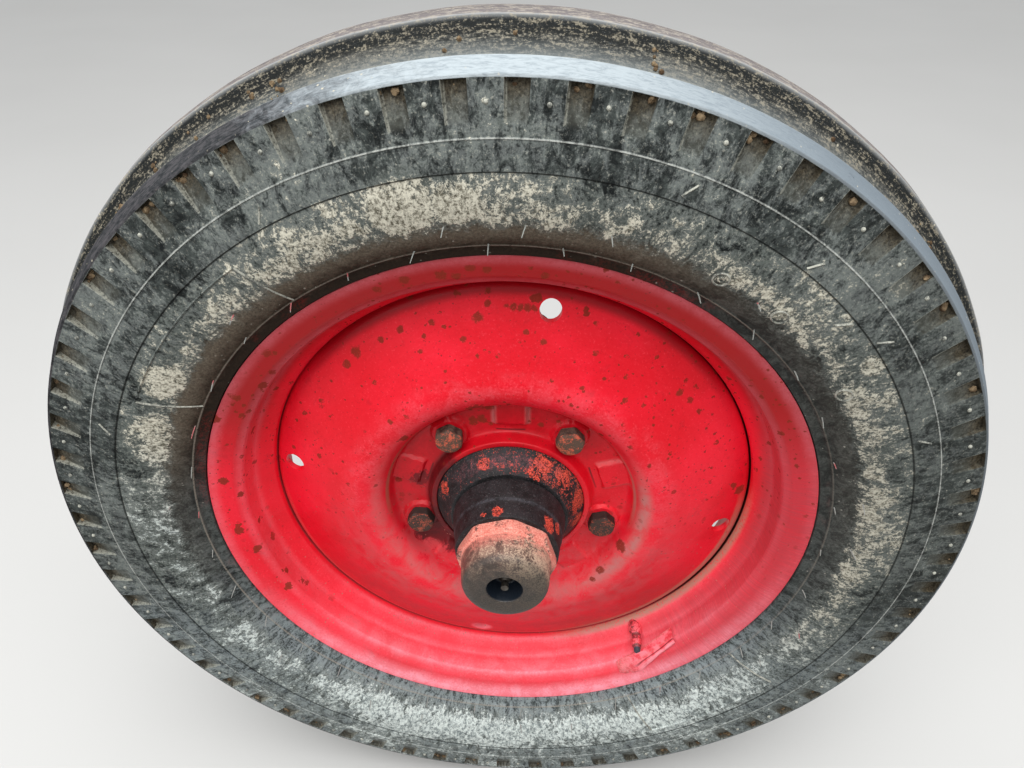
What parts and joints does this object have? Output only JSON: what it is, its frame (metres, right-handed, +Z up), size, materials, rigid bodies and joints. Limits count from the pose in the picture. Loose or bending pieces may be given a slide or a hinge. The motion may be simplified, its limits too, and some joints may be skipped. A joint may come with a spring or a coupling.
{
  "type": "tractor front wheel on its stub axle",
  "caption": "Tractor front wheel with a ribbed tyre on a pressed disc wheel, bolted to a hub that turns on a forged stub axle with an upright kingpin.",
  "frame": {"origin": "on the kingpin's axis, at the top of the thrust washer that the axle beam rests on", "axes": "+Z up along the kingpin, -Y out through the wheel's outer side along the wheel's axis"},
  "size_m": [0.6886, 0.277, 0.6886],
  "materials": {
    "tyre": "worn, dusty",
    "red_paint": "satin, chalky edges",
    "greasy_iron": "greasy",
    "worn_cap": "worn through",
    "rusty_bolt": "rusty",
    "worn_steel": "worn",
    "forged_steel": "greasy, worn paint",
    "seal_rubber": "matte"
  },
  "bodies": {
    "stub_axle": {"stub_axle": "forged_steel", "thrust_washer": "worn_steel"},
    "wheel": {"tyre": "tyre", "rim": "red_paint", "disc": "red_paint", "hub": "greasy_iron", "hub_cap": "worn_cap", "cap_grease_nipple": "worn_steel", "wheel_bolt_1": "rusty_bolt", "wheel_bolt_2": "rusty_bolt", "wheel_bolt_3": "rusty_bolt", "wheel_bolt_4": "rusty_bolt", "wheel_bolt_5": "rusty_bolt", "outer_bearing": "worn_steel", "inner_bearing": "worn_steel", "hub_seal": "seal_rubber", "valve_stem": "seal_rubber", "valve_guard": "red_paint"}
  },
  "joints": [
    {"name": "wheel_spin", "type": "hinge", "parent": "stub_axle", "child": "wheel", "pos_m": [0, -0.126, -0.062], "axis": [0, 1, 0], "continuous": true}
  ]
}
